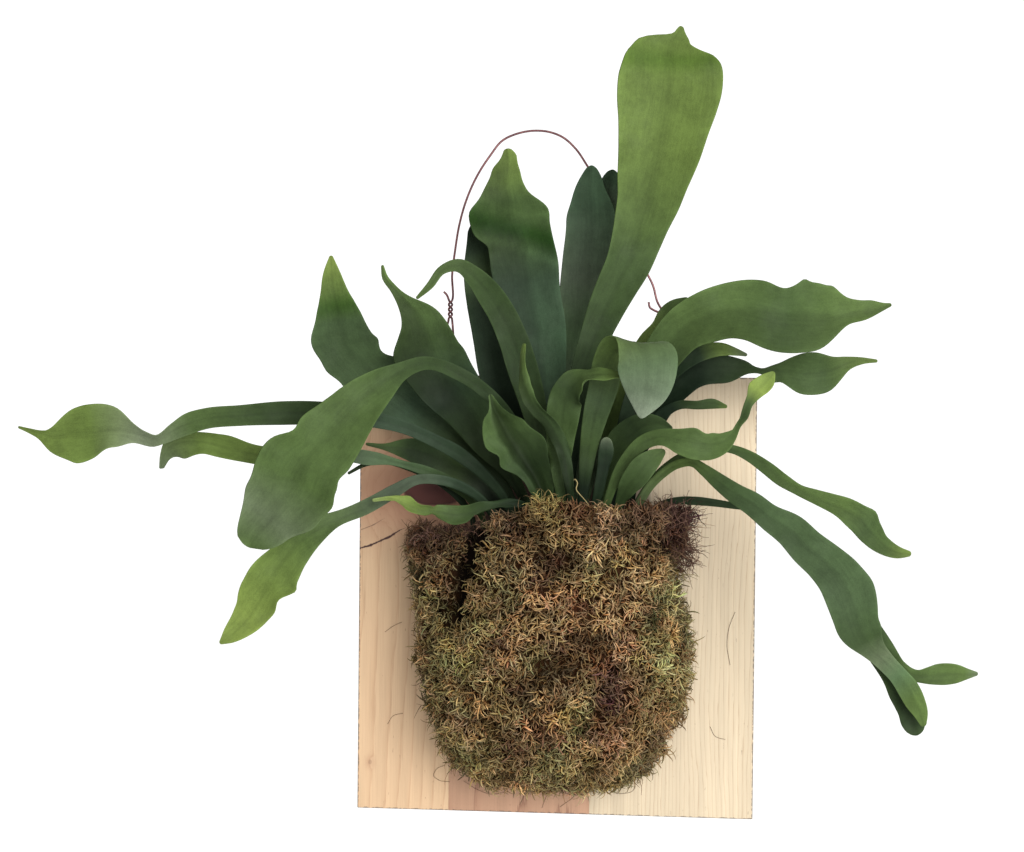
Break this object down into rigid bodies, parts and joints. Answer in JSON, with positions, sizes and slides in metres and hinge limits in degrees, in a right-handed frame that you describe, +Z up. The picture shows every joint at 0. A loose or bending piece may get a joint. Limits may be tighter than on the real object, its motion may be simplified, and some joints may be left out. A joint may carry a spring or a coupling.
{
  "type": "mounted staghorn fern",
  "caption": "Staghorn fern with long lobed fronds growing from a moss pot on a glued pine board, hung by a copper wire.",
  "frame": {"origin": "centre of the board's back face, on the wall", "axes": "+Y into the wall, so the plant grows out towards -Y; +X to the right as seen from the front; +Z up"},
  "size_m": [0.6395, 0.1628, 0.5557],
  "materials": {
    "pine": "matte",
    "moss": "matte",
    "peat": "matte",
    "steel": "satin",
    "copper": "satin",
    "leaf_dark": "matte",
    "leaf_green": "matte",
    "leaf_light": "matte"
  },
  "bodies": {
    "root": {"stave_left": "pine", "stave_middle": "pine", "stave_right": "pine", "moss_pot": "moss", "root_ball": "peat", "screw_eye_left": "steel", "screw_eye_right": "steel", "hanging_wire": "copper", "frond_pointed_left": "leaf_dark", "frond_horned_left": "leaf_dark", "frond_shaded_back": "leaf_dark", "frond_tall_centre": "leaf_dark", "frond_two_lobed": "leaf_dark", "frond_inner_left": "leaf_dark", "frond_thin_left": "leaf_dark", "frond_second_right": "leaf_dark", "frond_small_dark_right": "leaf_dark", "frond_hidden_right": "leaf_dark", "frond_dark_curl": "leaf_dark", "frond_short_right": "leaf_dark", "frond_broad_inner": "leaf_dark", "frond_long_left": "leaf_green", "frond_low_left": "leaf_green", "frond_recurved": "leaf_green", "frond_tallest": "leaf_green", "frond_ruffled_centre": "leaf_green", "frond_curled_centre": "leaf_green", "frond_large_right": "leaf_green", "frond_s_curved": "leaf_green", "frond_long_thin_right": "leaf_green", "frond_drooping_right": "leaf_green", "frond_arched_left": "leaf_light", "frond_lower_left": "leaf_light", "frond_folded_tongue": "leaf_light", "frond_channelled": "leaf_light", "frond_wavy_rim": "leaf_light", "frond_young_paddle": "leaf_light", "frond_lower_light": "leaf_light"}
  },
  "joints": []
}
